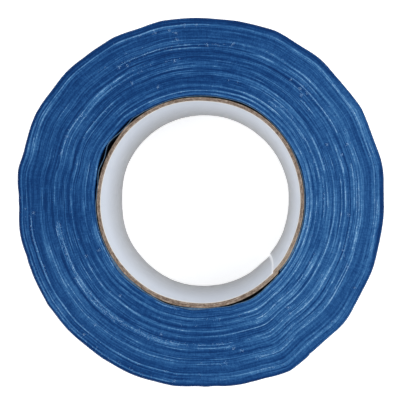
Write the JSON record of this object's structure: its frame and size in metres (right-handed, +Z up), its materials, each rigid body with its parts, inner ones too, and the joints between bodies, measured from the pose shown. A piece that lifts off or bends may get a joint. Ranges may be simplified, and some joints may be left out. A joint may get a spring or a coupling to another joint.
{
  "type": "adhesive tape roll",
  "caption": "Roll of blue cloth-backed adhesive tape on a white-lined board core, with a free end that peels off the outside.",
  "frame": {"origin": "centre of the core's bore at the lower side face, which the roll lies on", "axes": "+Z up along the roll's axis; the lap seam of the core liner is at 318 degrees and the tape's cut edge at 306 degrees counterclockwise from +X"},
  "size_m": [0.1392, 0.14, 0.05],
  "materials": {
    "white_liner_paper": "satin",
    "core_board": "matte",
    "tape_layer_edges": "matte",
    "blue_cloth_tape": "satin"
  },
  "bodies": {
    "roll": {"core_liner": "white_liner_paper", "core_board": "core_board", "first_turn": "tape_layer_edges", "inner_turns": "tape_layer_edges", "middle_turns": "tape_layer_edges", "outer_turns": "tape_layer_edges", "last_turn": "blue_cloth_tape"},
    "peeled_end": {"tape_end": "blue_cloth_tape"}
  },
  "joints": [
    {"name": "tape_end_peel", "type": "hinge", "parent": "roll", "child": "peeled_end", "pos_m": [0.01844, -0.06883, 0], "axis": [0, 0, -1], "range_deg": [0, 75]}
  ]
}
